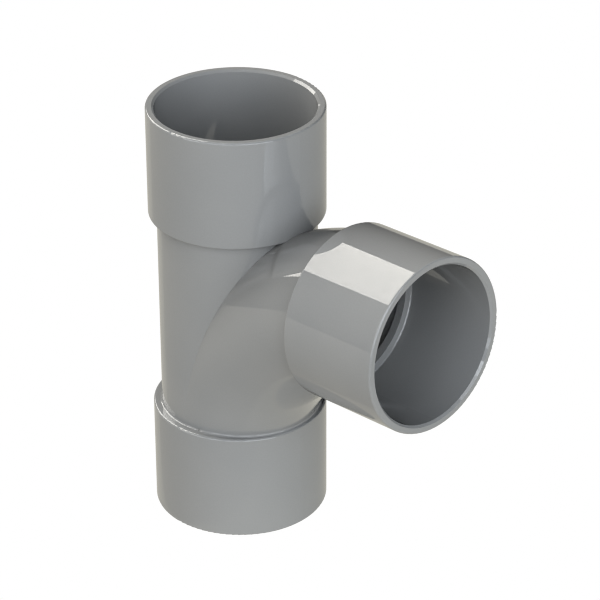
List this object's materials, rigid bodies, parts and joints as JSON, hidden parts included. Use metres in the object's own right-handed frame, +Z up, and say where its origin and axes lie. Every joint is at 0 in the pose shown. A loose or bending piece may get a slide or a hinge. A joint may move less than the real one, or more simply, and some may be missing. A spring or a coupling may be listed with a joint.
{
  "type": "swept tee",
  "caption": "Swept tee for waste pipe: straight run with a socket at each end and a sweeping branch that ends in a third socket at 92.5 degrees.",
  "frame": {"origin": "centre of the lower socket's mouth, on the axis of the run, level with the rim that the tee stands on", "axes": "+Z up the run towards the upper socket, +X towards the branch, +Y across, square to the plane of the run and the branch"},
  "size_m": [0.0973, 0.0478, 0.1196],
  "materials": {
    "grey_plastic": "smooth moulded grey plastic with a soft gloss"
  },
  "bodies": {
    "root": {"tee_body": "grey_plastic"}
  },
  "joints": []
}
